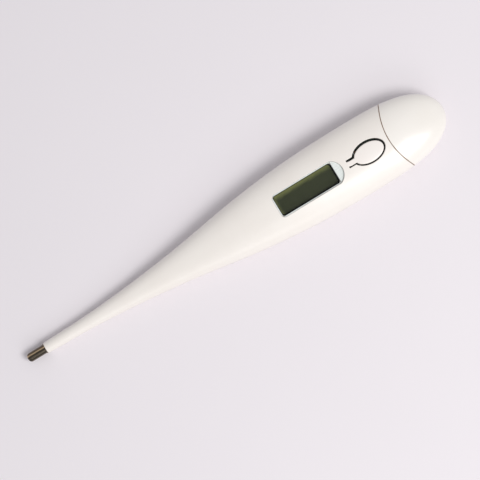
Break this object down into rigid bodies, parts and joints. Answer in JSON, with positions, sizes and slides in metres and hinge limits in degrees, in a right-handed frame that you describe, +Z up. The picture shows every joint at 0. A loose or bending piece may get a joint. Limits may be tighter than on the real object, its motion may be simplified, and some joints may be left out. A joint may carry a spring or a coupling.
{
  "type": "digital thermometer",
  "caption": "Slim pocket clinical thermometer: tapered white body, metal sensing tip, small display window, press button and pull-off battery cover.",
  "frame": {"origin": "bottom centre of the bounding box: on the surface that the flat foot stands on, half-way along the length", "axes": "+X along the length from the metal tip towards the battery cover, +Z up through the display, +Y across to the left of the display as seen from the tip"},
  "size_m": [0.127, 0.0194, 0.0104],
  "materials": {
    "white_abs": "satin moulded white ABS",
    "button_abs": "satin moulded white ABS, slightly pink",
    "cover_abs": "glossier moulded white ABS",
    "clear_lens": "clear flat acrylic lens",
    "tip_steel": "drawn stainless steel",
    "epoxy": "thermally conductive potting",
    "bead_glass": "glass-sealed thermistor bead",
    "wire_enamel": "enamelled wire",
    "chassis_abs": "natural moulded ABS",
    "board_laminate": "green solder-masked laminate",
    "lcd_glass": "thin display glass",
    "polariser_film": "dark olive polarising film",
    "reflector_film": "grey-green reflector film",
    "holder_abs": "white moulded frame",
    "strip_rubber": "layered conductive rubber",
    "black_epoxy": "black chip encapsulant",
    "resistor_ceramic": "black chip resistors",
    "capacitor_ceramic": "tan chip capacitors",
    "switch_plastic": "black moulded nylon",
    "switch_steel": "thin stainless sheet",
    "plunger_plastic": "black moulded nylon",
    "buzzer_brass": "thin brass plate",
    "buzzer_ceramic": "silvered piezo ceramic",
    "lead_copper": "tinned copper lead",
    "contact_nickel": "nickel-plated spring strip",
    "solder": "solder",
    "cell_steel": "nickel-plated steel can",
    "gasket_nylon": "nylon gasket",
    "cell_cap_steel": "nickel-plated steel cap"
  },
  "bodies": {
    "root": {"housing": "white_abs", "display_lens": "clear_lens", "tip_cap": "tip_steel", "tip_sealant": "epoxy", "thermistor_bead": "bead_glass", "thermistor_wires": "wire_enamel"},
    "button": {"power_button": "button_abs"},
    "chassis": {"chassis": "chassis_abs", "circuit_board": "board_laminate", "lcd_front_glass": "lcd_glass", "lcd_rear_glass": "lcd_glass", "lcd_front_polariser": "polariser_film", "lcd_rear_reflector": "reflector_film", "lcd_holder": "holder_abs", "zebra_strips": "strip_rubber", "chip_encapsulant": "black_epoxy", "smd_resistors": "resistor_ceramic", "smd_capacitors": "capacitor_ceramic", "switch_base": "switch_plastic", "switch_cover": "switch_steel", "switch_dome": "switch_steel", "buzzer_plate": "buzzer_brass", "buzzer_ceramic": "buzzer_ceramic", "buzzer_leads": "lead_copper", "positive_contact": "contact_nickel", "negative_contact": "contact_nickel", "solder_joints": "solder"},
    "plunger": {"switch_plunger": "plunger_plastic"},
    "cell": {"battery_can": "cell_steel", "battery_gasket": "gasket_nylon", "battery_negative_cap": "cell_cap_steel"},
    "cover": {"battery_cover": "cover_abs"}
  },
  "joints": [
    {"name": "button_press", "type": "hinge", "parent": "root", "child": "button", "pos_m": [0.0347, 0, 0.01], "axis": [0, 1, 0], "range_deg": [0, 2.5], "stiffness_Nm_per_rad": 0.4},
    {"name": "chassis_slide", "type": "slide", "parent": "root", "child": "chassis", "axis": [1, 0, 0], "range_m": [0, 0.01], "deforming": ["thermistor_wires"]},
    {"name": "switch_press", "type": "slide", "parent": "chassis", "child": "plunger", "axis": [0, 0, -1], "range_m": [0, 0.00039], "deforming": ["switch_dome"]},
    {"name": "cover_pull", "type": "slide", "parent": "chassis", "child": "cover", "axis": [1, 0, 0], "range_m": [0, 0.03]},
    {"name": "cell_out", "type": "slide", "parent": "chassis", "child": "cell", "axis": [1, 0, 0], "range_m": [0, 0.012]}
  ],
  "couplings": [
    {"joint": "switch_press", "follows": "button_press", "m_per_rad": 0.0088},
    {"joint": "cell_out", "follows": "cover_pull", "ratio": 0.4}
  ]
}
